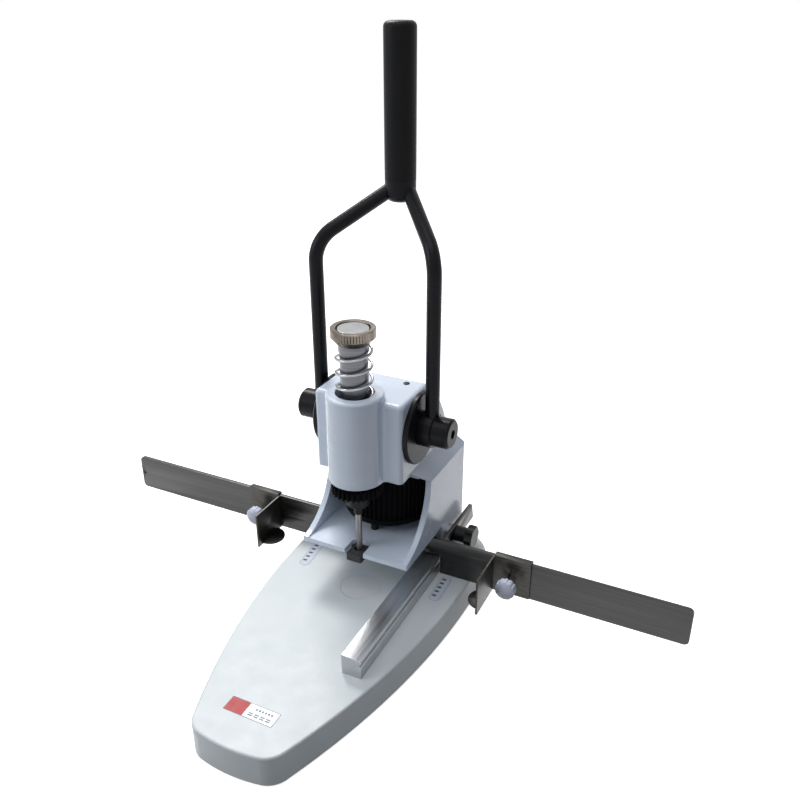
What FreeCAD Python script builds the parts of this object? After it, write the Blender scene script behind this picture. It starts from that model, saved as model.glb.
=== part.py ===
import FreeCAD, Part
import math
import os

# Paper drill for the desk: a lever pushes a spinning hollow bit through a stack of sheets.
# X runs along the ruler, Y to the back, Z up. The drill runs on the Z axis, and the sheets
# lie on the base plate at height zero. All lengths are millimetres.

V = FreeCAD.Vector
X_AXIS = V(1, 0, 0)
Y_AXIS = V(0, 1, 0)
Z_AXIS = V(0, 0, 1)

# Gaps and cutting allowance
clearance = 0.3
running_gap = 0.05
overrun = 3.0
edge_break = 0.5
near = 0.05
near_share = 0.001

# Base plate; a reach is a distance to the front of the drill, a share a part of such a length
foot_stand = 2.0
base_height = 24.0
base_wall = 6.0
base_top_wall = 7.0
base_half_width = 76.5
base_tail = 7.5
base_corner = 38.0
base_parallel_y = 60.0
base_shoulder_inset = 10.6
base_shoulder_share = 0.517
base_reach = 180.0
nose_half = 37.0
nose_setback = 15.0
nose_round_half = 32.6
nose_round_setback = 7.4
nose_flat_half = 24.0
nose_flat_setback = 2.5
base_top_round = 1.6
base_boss_radius = 11.0
base_rib_share = 0.44
foot_radius = 8.0
foot_recess = 3.0
foot_side_inset = 14.5
foot_front_half = 22.0
foot_front_inset = 22.0
mat_radius = 16.0
mat_thickness = 4.0

# Housing: the lower body with its two cheeks, the shelf, the neck, the head and the boss
shelf_bottom = 36.0
shelf_thickness = 4.0
shelf_reach = 9.0
body_wall = 4.6
body_round = 4.0
gear_side_room = 5.45
gear_rear_room = 11.35
pedestal_front = 58.0
cheek_y = 34.0
cheek_lip = 0.6
neck_slope = 15.0
neck_lift = 3.0
neck_front = 15.0
neck_step = 10.0
head_half = 36.0
head_wall = 4.2
head_front = 2.0
head_rim = 1.0
head_flat_back = 47.0
head_crown_bulge = 5.1
head_knee_inset = 8.0
head_knee_rise = 13.0
head_round = 3.5
boss_radius = 21.5
boss_rise = 6.0
boss_round = 2.2
boss_bore = 14.4
boss_root_round = 3.0
seat_thickness = 3.3
notch_half = 8.0
notch_back = 6.0
notch_round = 4.0
oil_hole_radius = 2.0
oil_hole_x = 21.5
oil_hole_y = 40.5
web_gap = 1.0
web_thickness = 4.0
web_reach = 26.0

# Gear train: one module for the spur gears, one for the mitre pair
gear_module = 1.25
mitre_module = 1.5
rack_pinion_teeth = 36
lay_teeth = 12
drive_teeth = 54
spindle_teeth = 30
mitre_teeth = 16
pressure_angle = 25.0
addendum_share = 0.8
dedendum_share = 1.05
tooth_share = 0.90
spare_gaps = 2
rack_pinion_width = 8.0
pinion_hub_radius = 9.6
pinion_hub_width = 4.0
lay_pinion_width = 7.0
mitre_face = 5.0
mitre_hub_radius = 7.5
mitre_hub_length = 3.5
mitre_lift = 1.3
mesh_margin = 1.0
drive_web = 6.0
drive_rim = 5.0
flange_thickness = 4.0
flange_lip = 0.8
flange_gap = 3.0
spindle_pinion_width = 7.0
jack_radius = 5.0
jack_boss_radius = 10.0
jack_bush_wall = 2.0
lay_shaft_radius = 3.5
lay_seat_depth = 3.0
jack_step = 1.0

# Lever
cross_radius = 8.0
opening_room = 2.5
cover_overlap = 2.0
cover_thickness = 3.6
cover_bevel = 1.0
bush_wall = 3.0
hub_inner_radius = 13.2
hub_inner_length = 10.0
hub_outer_radius = 11.6
hub_outer_length = 10.5
hub_cap_length = 3.2
hub_cap_bevel = 1.6
hub_socket_radius = 4.0
hub_socket_depth = 1.8
arm_radius = 5.3
arm_inset = 7.1
arm_rise = 132.0
arm_bend = 26.0
fork_lift = 33.0
fork_back = 43.7
fork_half = 6.0
fork_drop = 9.0
fork_top = 7.0
fork_round = 6.0
stem_radius = 6.0
stem_length = 80.0
grip_radius = 11.4
grip_length = 103.7
grip_round = 4.0

# Quill, spindle and the pieces on them
quill_radius = 10.2
quill_reach = 3.0
quill_foot_gap = 1.5
quill_rise = 76.0
quill_collar_radius = 10.9
quill_collar_height = 9.0
quill_bush_wall = 3.3
quill_bush_height = 18.0
spindle_radius = 5.0
spindle_bush_wall = 2.5
spindle_bush_height = 9.0
cap_over_quill = 8.6
cap_radius = 16.2
cap_rim_height = 7.0
cap_taper_height = 4.6
cap_foot_wall = 0.9
cap_recess_depth = 3.4
cap_flutes = 48
cap_flute_depth = 0.5
cap_disc_radius = 11.6
cap_disc_thickness = 2.4
spring_wire = 2.1
spring_side_gap = 0.45
spring_half_turns = 9
chuck_landing = 1.5
chuck_length = 13.0
chuck_radius = 9.0
chuck_nose_length = 8.0
chuck_nose_wall = 0.9
chuck_step = 0.5
chip_window_half = 2.2
bit_radius = 2.6
bit_wall = 0.7
bit_rest = 0.5
bit_socket = 5.0
guide_lead = 1.0
guide_drop = 5.0
guide_bore_gap = 0.5
guide_side_gap = 1.5
guide_rise = 1.0
guide_round = 1.0
tongue_thickness = 3.3
tongue_tail = 5.0
guide_screw_y = 26.0
guide_screw_radius = 1.9
guide_screw_head_radius = 3.0
guide_screw_head = 6.0

# Ruler carriage
ruler_left_reach = 260.8
ruler_right_reach = 248.2
ruler_headroom = 3.7
ruler_thickness = 3.0
ruler_front = 43.7
ruler_gap = 0.3
ruler_corner = 4.0
ruler_hole_radius = 1.6
ruler_hole_inset = 3.4
arm_plate_gap = 4.9
arm_plate_thickness = 3.0
arm_plate_height = 15.0
arm_plate_tail = 39.0
arm_plate_slant = 4.0
arm_slot_half = 3.4
carriage_travel = 10.5
stud_radius = 3.0
stud_inset = 11.0
stud_depth = 10.0
knob_radius = 9.8
knob_length = 6.6
knob_bevel = 0.8
knob_neck_radius = 6.5
knob_neck_length = 9.7
knob_lobes = 6
knob_flute_radius = 9.0
knob_flute_depth = 1.5

# Fence
fence_left = 34.0
fence_width = 15.3
fence_height = 16.2
fence_reach = 90.0
fence_rear_gap = 2.0
fence_groove_height = 2.2
fence_groove_depth = 1.6
fence_groove_drop = 3.6
fence_screw_radius = 2.5
fence_front_inset = 20.0
fence_rear_inset = 31.0

# Sliding stops
stop_left_reach = 104.3
stop_right_reach = 97.0
stop_length = 30.0
sheet = 1.5
stop_gap = 0.2
fold_share = 0.8
stop_rear_drop = 20.0
flange_reach = 36.0
flange_bottom = 0.8
tab_radius = 12.0
screw_shank_radius = 3.0
screw_shank_length = 11.0
screw_head_radius = 8.0
screw_head_length = 9.0
screw_rim_share = 0.6
screw_scallops = 12
screw_scallop_radius = 1.6

# Fasteners under the base
bolt_radius = 3.0
bolt_head_radius = 5.0
bolt_head_height = 6.0
bolt_grip = 12.0
bolt_socket_share = 0.8
bolt_side_inset = 11.6
bolt_front_inset = 10.0
bolt_rear_inset = 9.0

# Gears, worked out from their teeth
rack_pinion_pitch = gear_module * rack_pinion_teeth / 2
lay_pitch = gear_module * lay_teeth / 2
drive_pitch = gear_module * drive_teeth / 2
spindle_pitch = gear_module * spindle_teeth / 2
mitre_pitch = mitre_module * mitre_teeth / 2
addendum = addendum_share * gear_module
dedendum = dedendum_share * gear_module
flange_radius = drive_pitch + addendum + flange_lip
jack_y = drive_pitch + spindle_pitch
lay_offset = (rack_pinion_pitch + lay_pitch) * math.cos(math.pi / 4)
hub_y = jack_y - lay_offset
rack_line = hub_y - rack_pinion_pitch

# Heights, worked out from the shelf up: the room under the shelf sets the stroke, and the
# stroke sets the gears and the head
shelf_top = shelf_bottom + shelf_thickness
bit_bottom = shelf_bottom + bit_rest
stroke = bit_bottom
chuck_bottom = shelf_top + chuck_landing + stroke
chuck_top = chuck_bottom + chuck_length
chuck_nose_bottom = chuck_bottom - chuck_nose_length
chuck_nose_radius = bit_radius + chuck_nose_wall
bit_top = chuck_top - bit_socket
spindle_pinion_bottom = chuck_top + chuck_step
spindle_pinion_top = spindle_pinion_bottom + spindle_pinion_width
drive_bottom = spindle_pinion_bottom - stroke - mesh_margin
drive_top = spindle_pinion_bottom + spindle_pinion_width / 2
drive_height = drive_top - drive_bottom
jack_boss_top = drive_bottom - flange_thickness - flange_gap
web_bottom = drive_top + web_gap
web_top = web_bottom + web_thickness
lay_height = web_top + mitre_lift + mitre_hub_length + mitre_pitch
hub_height = lay_height + lay_offset
quill_bottom = spindle_pinion_top + quill_foot_gap
quill_top = hub_height + quill_rise
cap_top = quill_top + cap_over_quill
head_bottom = quill_bottom + quill_reach
neck_top = head_bottom + neck_lift
cheek_top = neck_top - neck_slope
opening_radius = rack_pinion_pitch + addendum + opening_room
cover_radius = opening_radius + cover_overlap
head_top = hub_height + cover_radius + head_rim
boss_top = head_top + boss_rise
wheel_room = rack_pinion_pitch + addendum + clearance * 2
seat_back = hub_y - boss_bore - clearance * 2
seat_height = hub_height + math.sqrt(wheel_room ** 2 - seat_back ** 2)
seat_top = seat_height + seat_thickness

# Widths and depths, worked out from the gears and the pieces that they hold
body_half = flange_radius + gear_side_room + body_wall
body_rear = jack_y + flange_radius + gear_rear_room + body_wall
neck_back = body_rear - neck_step
base_rear = body_rear + base_tail
shoulder_y = base_parallel_y - base_shoulder_share * (base_parallel_y + base_reach)
front_rib_y = -base_rib_share * base_reach
cheek_depth = cheek_y + shelf_reach
cheek_start = shelf_top + cheek_lip
cheek_rise = cheek_top - cheek_start
cheek_radius = (cheek_depth ** 2 + cheek_rise ** 2) / (2 * cheek_depth)
hub_start = head_half + cover_thickness + clearance
hub_step = hub_start + hub_inner_length
hub_end = hub_step + hub_outer_length
arm_x = hub_start + arm_inset
fork_rise = arm_rise + fork_lift
quill_bush_radius = quill_radius + quill_bush_wall
spindle_bush_radius = spindle_radius + spindle_bush_wall
cap_recess_radius = cap_disc_radius + clearance * 2
spring_outer = boss_bore - spring_side_gap
guide_half = notch_half - guide_side_gap
guide_back = notch_back - clearance
guide_front = -shelf_reach - guide_lead
guide_bottom = shelf_bottom - guide_drop
guide_top = shelf_bottom + guide_rise
ruler_height = shelf_bottom - ruler_headroom - ruler_gap
ruler_top = ruler_gap + ruler_height
ruler_back = ruler_front + ruler_thickness
stud_y = pedestal_front + stud_inset
stud_height = ruler_top - arm_plate_height / 2
arm_plate_inner = body_half + arm_plate_gap
arm_plate_outer = arm_plate_inner + arm_plate_thickness
screw_height = ruler_height / 2


def block(x0, x1, y0, y1, z0, z1):
    """A box between two corners."""
    return Part.makeBox(x1 - x0, y1 - y0, z1 - z0, V(x0, y0, z0))


def rod(radius, start, end):
    """A round bar between two points."""
    return Part.makeCylinder(radius, (end - start).Length, start, end - start)


def tube(outer, inner, start, end):
    """A round bar with a bore, between two points."""
    return rod(outer, start, end).cut(rod(inner, start, end))


def fuse_all(shapes):
    """One solid out of several that overlap."""
    joined = shapes[0].fuse(shapes[1:])
    return joined.removeSplitter()


def arc(first, middle, last):
    """A circular edge through three points."""
    return Part.Arc(first, middle, last).toShape()


def prism(points, sweep):
    """A polygon carried along a straight sweep."""
    return Part.Face(Part.makePolygon(points + [points[0]])).extrude(sweep)


def turned(profile, centre, axis):
    """A profile of (radius, distance along the axis) pairs turned about the axis."""
    side = Y_AXIS if abs(axis.x) > abs(axis.y) else X_AXIS
    points = [centre + side * r + axis * d for r, d in profile]
    face = Part.Face(Part.makePolygon(points + [points[0]]))
    return face.revolve(centre, axis, 360)


def rounded(shape, radius, chosen):
    """The shape with the edges that the test picks rounded."""
    return shape.makeFillet(radius, [edge for edge in shape.Edges if chosen(edge)])


def lies_on(edge, axis, value):
    """True when every corner of an edge has this coordinate."""
    return all(abs(getattr(corner.Point, axis) - value) < near for corner in edge.Vertexes)


def runs_along(edge, axis):
    """True for a straight edge that runs along this axis."""
    if edge.Curve.TypeId != "Part::GeomLine":
        return False
    return 1 - abs(edge.Curve.Direction.dot(axis)) < near_share


def save(shape, name):
    """Write a piece as its own file."""
    shape.exportStep(os.path.join("parts", name + ".step"))


def tooth_angle(radius, pitch, teeth):
    """Half the angle that a tooth takes up at this radius."""
    start = math.radians(pressure_angle)
    base = pitch * math.cos(start)
    here = math.acos(min(1, base / radius))
    spread = (math.tan(start) - start) - (math.tan(here) - here)
    return tooth_share * math.pi / (2 * teeth) + spread


def gear_points(module, teeth, phase):
    """The outline of a spur gear in its own plane, with a tooth centred on the phase angle."""
    pitch = module * teeth / 2
    radii = (pitch - dedendum_share * module, pitch, pitch + addendum_share * module)
    points = []
    for tooth in range(teeth):
        centre = phase + 2 * math.pi * tooth / teeth
        flank = [(r, tooth_angle(r, pitch, teeth)) for r in radii]
        for r, half in flank:
            points.append((r * math.cos(centre - half), r * math.sin(centre - half)))
        for r, half in reversed(flank):
            points.append((r * math.cos(centre + half), r * math.sin(centre + half)))
    return points


def spur_gear(module, teeth, phase, centre, across, up, width):
    """A spur gear of this width whose plane is spanned by two directions."""
    outline = [centre + across * a + up * b for a, b in gear_points(module, teeth, phase)]
    return prism(outline, across.cross(up) * width)


def mitre_gear(phase, apex, axis, across, up):
    """A bevel gear of the mitre pair: its outline shrinks towards the apex."""
    outer = gear_points(mitre_module, mitre_teeth, phase)
    share = 1 - mitre_face / (mitre_pitch * math.sqrt(2))
    rings = []
    for scale in (1, share):
        place = apex + axis * (mitre_pitch * scale)
        points = [place + across * (a * scale) + up * (b * scale) for a, b in outer]
        rings.append(Part.makePolygon(points + [points[0]]))
    teeth = Part.makeLoft(rings, True, True)
    back = apex + axis * mitre_pitch
    hub = rod(mitre_hub_radius, back, back + axis * mitre_hub_length)
    return teeth.fuse(hub)


def base_wire(height):
    """The outline of the base plate at this height: a broad tail and a rounded nose."""
    def half(side):
        corner = base_corner * (1 - math.cos(math.pi / 4))
        rear = V(side * (base_half_width - base_corner), base_rear, height)
        turn = V(side * (base_half_width - corner), base_rear - corner, height)
        flank = V(side * base_half_width, base_rear - base_corner, height)
        waist = V(side * base_half_width, base_parallel_y, height)
        shoulder = V(side * (base_half_width - base_shoulder_inset), shoulder_y, height)
        nose = V(side * nose_half, nose_setback - base_reach, height)
        cheek = V(side * nose_round_half, nose_round_setback - base_reach, height)
        flat = V(side * nose_flat_half, nose_flat_setback - base_reach, height)
        edges = [arc(rear, turn, flank), Part.makeLine(flank, waist)]
        edges += [arc(waist, shoulder, nose), arc(nose, cheek, flat)]
        return rear, flat, edges

    right_rear, right_flat, right = half(1)
    left_rear, left_flat, left = half(-1)
    front = arc(right_flat, V(0, -base_reach, height), left_flat)
    back = Part.makeLine(left_rear, right_rear)
    return Part.Wire(Part.__sortEdges__(right + [front] + left + [back]))


def foot_places():
    """Where the four rubber feet sit."""
    rear_x = base_half_width - foot_side_inset
    rear = [(side * rear_x, base_rear - base_corner) for side in (-1, 1)]
    front = [(side * foot_front_half, foot_front_inset - base_reach) for side in (-1, 1)]
    return rear + front


def bolt_places():
    """Where the four bolts come up into the pedestal."""
    x = body_half - bolt_side_inset
    ys = (pedestal_front + bolt_front_inset, body_rear - bolt_rear_inset)
    return [(side * x, y) for side in (-1, 1) for y in ys]


def fence_places():
    """Where the two screws come up into the fence."""
    ys = (fence_front_inset - fence_reach, pedestal_front - fence_rear_gap - fence_rear_inset)
    return [(fence_left + fence_width / 2, y) for y in ys]


def base_plate():
    """A cast plate, hollow beneath, with a boss round every screw and foot."""
    outline = base_wire(-base_height)
    plate = Part.Face(outline).extrude(Z_AXIS * base_height)
    plate = rounded(plate, base_top_round, lambda edge: lies_on(edge, "z", 0))
    inner = Part.Face(outline.makeOffset2D(-base_wall))
    pocket = inner.extrude(Z_AXIS * (base_height - base_top_wall))
    bosses = [
        rod(base_boss_radius, V(x, y, -base_height), V(x, y, 0))
        for x, y in foot_places() + bolt_places() + fence_places()
    ]
    rib_half = base_wall / 2
    for y in (front_rib_y, 0, base_parallel_y):
        bosses.append(block(-base_half_width, base_half_width, y - rib_half, y + rib_half,
                            -base_height, 0))
    bosses.append(rod(mat_radius + base_wall, V(0, 0, -base_height), V(0, 0, 0)))
    plate = plate.cut(pocket.cut(bosses[0].fuse(bosses[1:])))
    cuts = []
    for x, y in foot_places():
        cuts.append(rod(foot_radius, V(x, y, -base_height), V(x, y, foot_recess - base_height)))
    for x, y in bolt_places():
        cuts.append(rod(bolt_radius + clearance, V(x, y, -base_height), V(x, y, 0)))
        cuts.append(rod(bolt_head_radius + clearance, V(x, y, -base_height),
                        V(x, y, bolt_head_height + clearance - base_height)))
    for x, y in fence_places():
        cuts.append(rod(fence_screw_radius + clearance, V(x, y, -base_height), V(x, y, 0)))
        cuts.append(rod(bolt_head_radius + clearance, V(x, y, -base_height),
                        V(x, y, bolt_head_height + clearance - base_height)))
    cuts.append(rod(mat_radius, V(0, 0, -mat_thickness), V(0, 0, 0)))
    return plate.cut(cuts)


def rubber_feet():
    """Four rubber pads pressed into the underside."""
    feet = []
    for x, y in foot_places():
        low = -base_height - foot_stand
        feet.append(rod(foot_radius, V(x, y, low), V(x, y, foot_recess - base_height)))
    return Part.makeCompound(feet)


def cutting_mat():
    """The round plastic pad that the bit bites into."""
    return rod(mat_radius, V(0, 0, -mat_thickness), V(0, 0, 0))


def screws_from_below(places, radius, grip):
    """Socket screws that come up through the base, heads sunk in its underside."""
    screws = []
    for x, y in places:
        seat = bolt_head_height + clearance - base_height
        head = rod(bolt_head_radius, V(x, y, seat - bolt_head_height), V(x, y, seat))
        shank = rod(radius, V(x, y, seat), V(x, y, grip))
        socket = rod(radius * bolt_socket_share, V(x, y, seat - bolt_head_height),
                     V(x, y, seat - bolt_head_height / 2))
        screws.append(head.fuse(shank).cut(socket))
    return Part.makeCompound(screws)


def lower_body():
    """The wide lower casting: curved cheeks in front, the pedestal behind."""
    x = -body_half
    centre_y = cheek_y - cheek_radius
    half_turn = math.asin(cheek_rise / cheek_radius) / 2
    bend = V(x, centre_y + cheek_radius * math.cos(half_turn),
             cheek_top - cheek_radius * math.sin(half_turn))
    lip = V(x, -shelf_reach, cheek_start)
    top = V(x, cheek_y, cheek_top)
    corners = [top, V(x, neck_front, neck_top), V(x, neck_back, neck_top),
               V(x, body_rear, cheek_top), V(x, body_rear, 0), V(x, pedestal_front, 0),
               V(x, pedestal_front, shelf_bottom), V(x, -shelf_reach, shelf_bottom), lip]
    edges = [arc(lip, bend, top)]
    edges += [Part.makeLine(a, b) for a, b in zip(corners, corners[1:])]
    body = Part.Face(Part.Wire(edges)).extrude(X_AXIS * (2 * body_half))
    body = rounded(body, body_round, lambda edge: runs_along(edge, Z_AXIS)
                   and lies_on(edge, "y", body_rear))
    for side in (-1, 1):
        edge_x = side * body_half
        far_x = side * (body_half + overrun)
        wedge = [V(edge_x, -shelf_reach, cheek_top), V(side * head_half, -shelf_reach, neck_top),
                 V(side * head_half, -shelf_reach, neck_top + overrun),
                 V(far_x, -shelf_reach, neck_top + overrun), V(far_x, -shelf_reach, cheek_top)]
        body = body.cut(prism(wedge, Y_AXIS * (shelf_reach + body_rear + overrun)))
    return body


def neck_half(height):
    """Half the width of the sloping neck at this height."""
    share = (height - cheek_top) / neck_slope
    return body_half + (head_half - body_half) * share


def head_profile(x, wall):
    """The side view of the head, drawn in by the wall thickness."""
    front = head_front + wall
    top = head_top - wall
    low = head_bottom
    corners = [V(x, neck_back - wall, neck_top), V(x, neck_back - wall, low), V(x, front, low),
               V(x, front, top), V(x, head_flat_back, top)]
    knee = V(x, neck_back - head_knee_inset - wall, neck_top + head_knee_rise)
    chord = knee - corners[-1]
    outward = V(0, -chord.z, chord.y).normalize()
    crown = (knee + corners[-1]) * 0.5 + outward * head_crown_bulge
    edges = [Part.makeLine(a, b) for a, b in zip(corners, corners[1:])]
    edges += [arc(corners[-1], crown, knee), Part.makeLine(knee, corners[0])]
    return Part.Face(Part.Wire(edges))


def head_block():
    """The head with its rounded crown and its soft edges."""
    head = head_profile(-head_half, 0).extrude(X_AXIS * (2 * head_half))

    def soft(edge):
        on_side = lies_on(edge, "x", head_half) or lies_on(edge, "x", -head_half)
        above = all(corner.Point.z > neck_top - near for corner in edge.Vertexes)
        front_side = on_side and lies_on(edge, "y", head_front)
        ridge = lies_on(edge, "z", head_top) and lies_on(edge, "y", head_front)
        return (on_side and above) or front_side or ridge

    return rounded(head, head_round, soft)


def cavity():
    """The hollow inside: wide below, drawn in through the neck, narrow in the head."""
    wide = body_half - body_wall
    narrow = head_half - head_wall
    back = body_rear - body_wall
    low = block(-wide, wide, -shelf_reach - overrun, back, shelf_top, cheek_top)
    frame = [V(-wide, head_front + head_wall, cheek_top), V(wide, head_front + head_wall, cheek_top),
             V(narrow, head_front + head_wall, neck_top), V(-narrow, head_front + head_wall, neck_top)]
    neck = prism(frame, Y_AXIS * (neck_back - body_wall - head_front - head_wall))
    high = head_profile(-narrow, head_wall).extrude(X_AXIS * (2 * narrow))
    return low.fuse([neck, high])


def shelf_notch():
    """The U-shaped gap in the shelf where the bit comes down."""
    slot = block(-notch_half, notch_half, -shelf_reach - overrun, notch_back,
                 shelf_bottom - overrun, shelf_top + overrun)
    return rounded(slot, notch_round, lambda edge: runs_along(edge, Z_AXIS)
                   and lies_on(edge, "y", notch_back))


def boss_roots():
    """The hollow corners that blend the boss into the front of the head."""
    back = head_front + head_wall
    reach = math.sqrt((boss_radius + boss_root_round) ** 2 - (head_front - boss_root_round) ** 2)
    roots = []
    for side in (-1, 1):
        centre = V(side * reach, head_front - boss_root_round, head_bottom)
        wedge = [V(0, 0, head_bottom), centre, centre + Y_AXIS * (back - centre.y)]
        solid = prism(wedge, Z_AXIS * (head_top - head_round - head_bottom))
        top = centre + Z_AXIS * (head_top - head_bottom)
        roots.append(solid.cut(rod(boss_root_round, centre, top)))
    return roots


def housing():
    """The white casting that carries the lever, the quill and the gears."""
    shell = lower_body().fuse(head_block()).cut(cavity())
    boss = rod(boss_radius, V(0, 0, head_bottom), V(0, 0, boss_top))
    boss = rounded(boss, boss_round, lambda edge: lies_on(edge, "z", boss_top)).fuse(boss_roots())
    web_half = (neck_half(web_bottom) - body_wall + neck_half(web_top)) / 2
    web = block(-web_half, web_half, jack_y - web_reach, jack_y + web_reach, web_bottom, web_top)
    post = rod(jack_boss_radius, V(0, jack_y, shelf_bottom), V(0, jack_y, jack_boss_top))
    shell = fuse_all([shell, boss, web, post])
    wheel = rack_pinion_pitch + addendum + clearance * 3
    wheel_half = rack_pinion_width / 2 + clearance * 3
    axis_y, axis_z = hub_y, hub_height
    cuts = [
        rod(boss_bore, V(0, 0, seat_height), V(0, 0, boss_top + overrun)),
        rod(quill_radius + clearance, V(0, 0, head_bottom - overrun), V(0, 0, seat_top)),
        rod(quill_bush_radius, V(0, 0, head_bottom), V(0, 0, head_bottom + quill_bush_height)),
        rod(wheel, V(-wheel_half, axis_y, axis_z), V(wheel_half, axis_y, axis_z)),
        rod(oil_hole_radius, V(oil_hole_x, oil_hole_y, head_top - head_wall - overrun),
            V(oil_hole_x, oil_hole_y, head_top + overrun)),
        rod(jack_radius + jack_bush_wall, V(0, jack_y, web_bottom - overrun),
            V(0, jack_y, web_top + overrun)),
        rod(jack_radius + jack_bush_wall, V(0, jack_y, shelf_top),
            V(0, jack_y, jack_boss_top + overrun)),
        rod(guide_screw_radius + running_gap, V(0, guide_screw_y, shelf_bottom - overrun),
            V(0, guide_screw_y, shelf_top + overrun)),
        shelf_notch(),
    ]
    inner = head_half - head_wall
    for side in (-1, 1):
        cuts.append(rod(opening_radius, V(side * (inner - overrun), axis_y, axis_z),
                        V(side * (head_half + overrun), axis_y, axis_z)))
        cuts.append(rod(lay_shaft_radius + running_gap, V(side * (inner - overrun), jack_y, lay_height),
                        V(side * (inner + lay_seat_depth), jack_y, lay_height)))
        cuts.append(rod(stud_radius, V(side * (body_half - stud_depth), stud_y, stud_height),
                        V(side * (body_half + overrun), stud_y, stud_height)))
    for x, y in bolt_places():
        cuts.append(rod(bolt_radius, V(x, y, -overrun), V(x, y, bolt_grip + clearance)))
    return shell.cut(cuts)


def side_cover(side):
    """A black round cover that closes one side opening and holds a shaft bush."""
    outer = side * (head_half + cover_thickness)
    face = V(side * head_half, hub_y, hub_height)
    disc = rod(cover_radius, face, V(outer, hub_y, hub_height))
    disc = disc.makeChamfer(cover_bevel, [edge for edge in disc.Edges if lies_on(edge, "x", outer)])
    spigot = rod(opening_radius - running_gap, V(side * (head_half - head_wall), hub_y, hub_height), face)
    start = V(side * (head_half - head_wall - overrun), hub_y, hub_height)
    bore = rod(cross_radius + bush_wall, start, V(outer + side * overrun, hub_y, hub_height))
    return disc.fuse(spigot).cut(bore)


def shaft_bushes():
    """Two bronze bushes for the lever's shaft."""
    bushes = []
    for side in (-1, 1):
        start = V(side * (head_half - head_wall), hub_y, hub_height)
        end = V(side * (head_half + cover_thickness), hub_y, hub_height)
        bushes.append(tube(cross_radius + bush_wall, cross_radius + running_gap, start, end))
    return Part.makeCompound(bushes)


def cross_shaft():
    """The steel shaft through both sides of the head."""
    end = hub_end - hub_cap_length
    return rod(cross_radius, V(-end, hub_y, hub_height), V(end, hub_y, hub_height))


def rack_pinion():
    """The gear on the lever's shaft that drives the quill and the lay shaft."""
    half = rack_pinion_width / 2
    centre = V(-half, hub_y, hub_height)
    gear = spur_gear(gear_module, rack_pinion_teeth, math.pi, centre, Y_AXIS, Z_AXIS,
                     rack_pinion_width)
    hub = rod(pinion_hub_radius, V(half, hub_y, hub_height),
              V(half + pinion_hub_width, hub_y, hub_height))
    bore = rod(cross_radius, V(-half - overrun, hub_y, hub_height),
               V(half + pinion_hub_width + overrun, hub_y, hub_height))
    return gear.fuse(hub).cut(bore)


def lay_shaft():
    """The short shaft behind, with its twelve-tooth pinion cut in one piece."""
    end = head_half - head_wall + lay_seat_depth - clearance
    shaft = rod(lay_shaft_radius, V(-end, jack_y, lay_height), V(end, jack_y, lay_height))
    half = lay_pinion_width / 2
    toward = math.pi * 3 / 4
    pinion = spur_gear(gear_module, lay_teeth, toward, V(-half, jack_y, lay_height), Y_AXIS,
                       Z_AXIS, lay_pinion_width)
    return shaft.fuse(pinion)


def lay_mitre():
    """The bevel gear on the lay shaft."""
    apex = V(0, jack_y, lay_height)
    gap_down = -math.pi / 2 + math.pi / mitre_teeth
    gear = mitre_gear(gap_down, apex, X_AXIS, Y_AXIS, Z_AXIS)
    end = mitre_pitch + mitre_hub_length + overrun
    return gear.cut(rod(lay_shaft_radius, apex, apex + X_AXIS * end))


def jack_mitre():
    """The bevel gear on top of the jack shaft."""
    apex = V(0, jack_y, lay_height)
    gear = mitre_gear(0, apex, Z_AXIS * -1, X_AXIS, Y_AXIS)
    end = mitre_pitch + mitre_hub_length + overrun
    return gear.cut(rod(jack_radius - jack_step, apex, apex - Z_AXIS * end))


def jack_shaft():
    """The upright shaft that carries the drive gear, stepped down for the bevel gear."""
    low = V(0, jack_y, shelf_top + clearance)
    shoulder = lay_height - mitre_pitch - mitre_hub_length
    top = V(0, jack_y, lay_height - mitre_pitch + mitre_face / 2)
    body = rod(jack_radius, low, V(0, jack_y, shoulder))
    return body.fuse(rod(jack_radius - jack_step, V(0, jack_y, shoulder), top))


def jack_bushes():
    """Bronze bushes for the jack shaft, one in the web and one on the shelf."""
    outer = jack_radius + jack_bush_wall
    inner = jack_radius + running_gap
    upper = tube(outer, inner, V(0, jack_y, web_bottom), V(0, jack_y, web_top))
    lower = tube(outer, inner, V(0, jack_y, shelf_top), V(0, jack_y, jack_boss_top))
    return Part.makeCompound([upper, lower])


def drive_gear():
    """The tall black gear in the cavity, with a flange below that catches chips."""
    foot = V(0, jack_y, drive_bottom)
    gear = spur_gear(gear_module, drive_teeth, -math.pi / 2, foot, X_AXIS, Y_AXIS, drive_height)
    flange = rod(flange_radius, foot - Z_AXIS * flange_thickness, foot)
    flange = flange.makeChamfer(edge_break, flange.Edges[:1])
    gear = gear.fuse(flange)
    rim = drive_pitch - dedendum - drive_rim
    hub = jack_radius + drive_rim
    end = V(0, jack_y, drive_top + overrun)
    upper = tube(rim, hub, V(0, jack_y, drive_bottom + drive_web), end)
    bore = rod(jack_radius, foot - Z_AXIS * (flange_thickness + overrun), end)
    return gear.cut([upper, bore])


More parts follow.
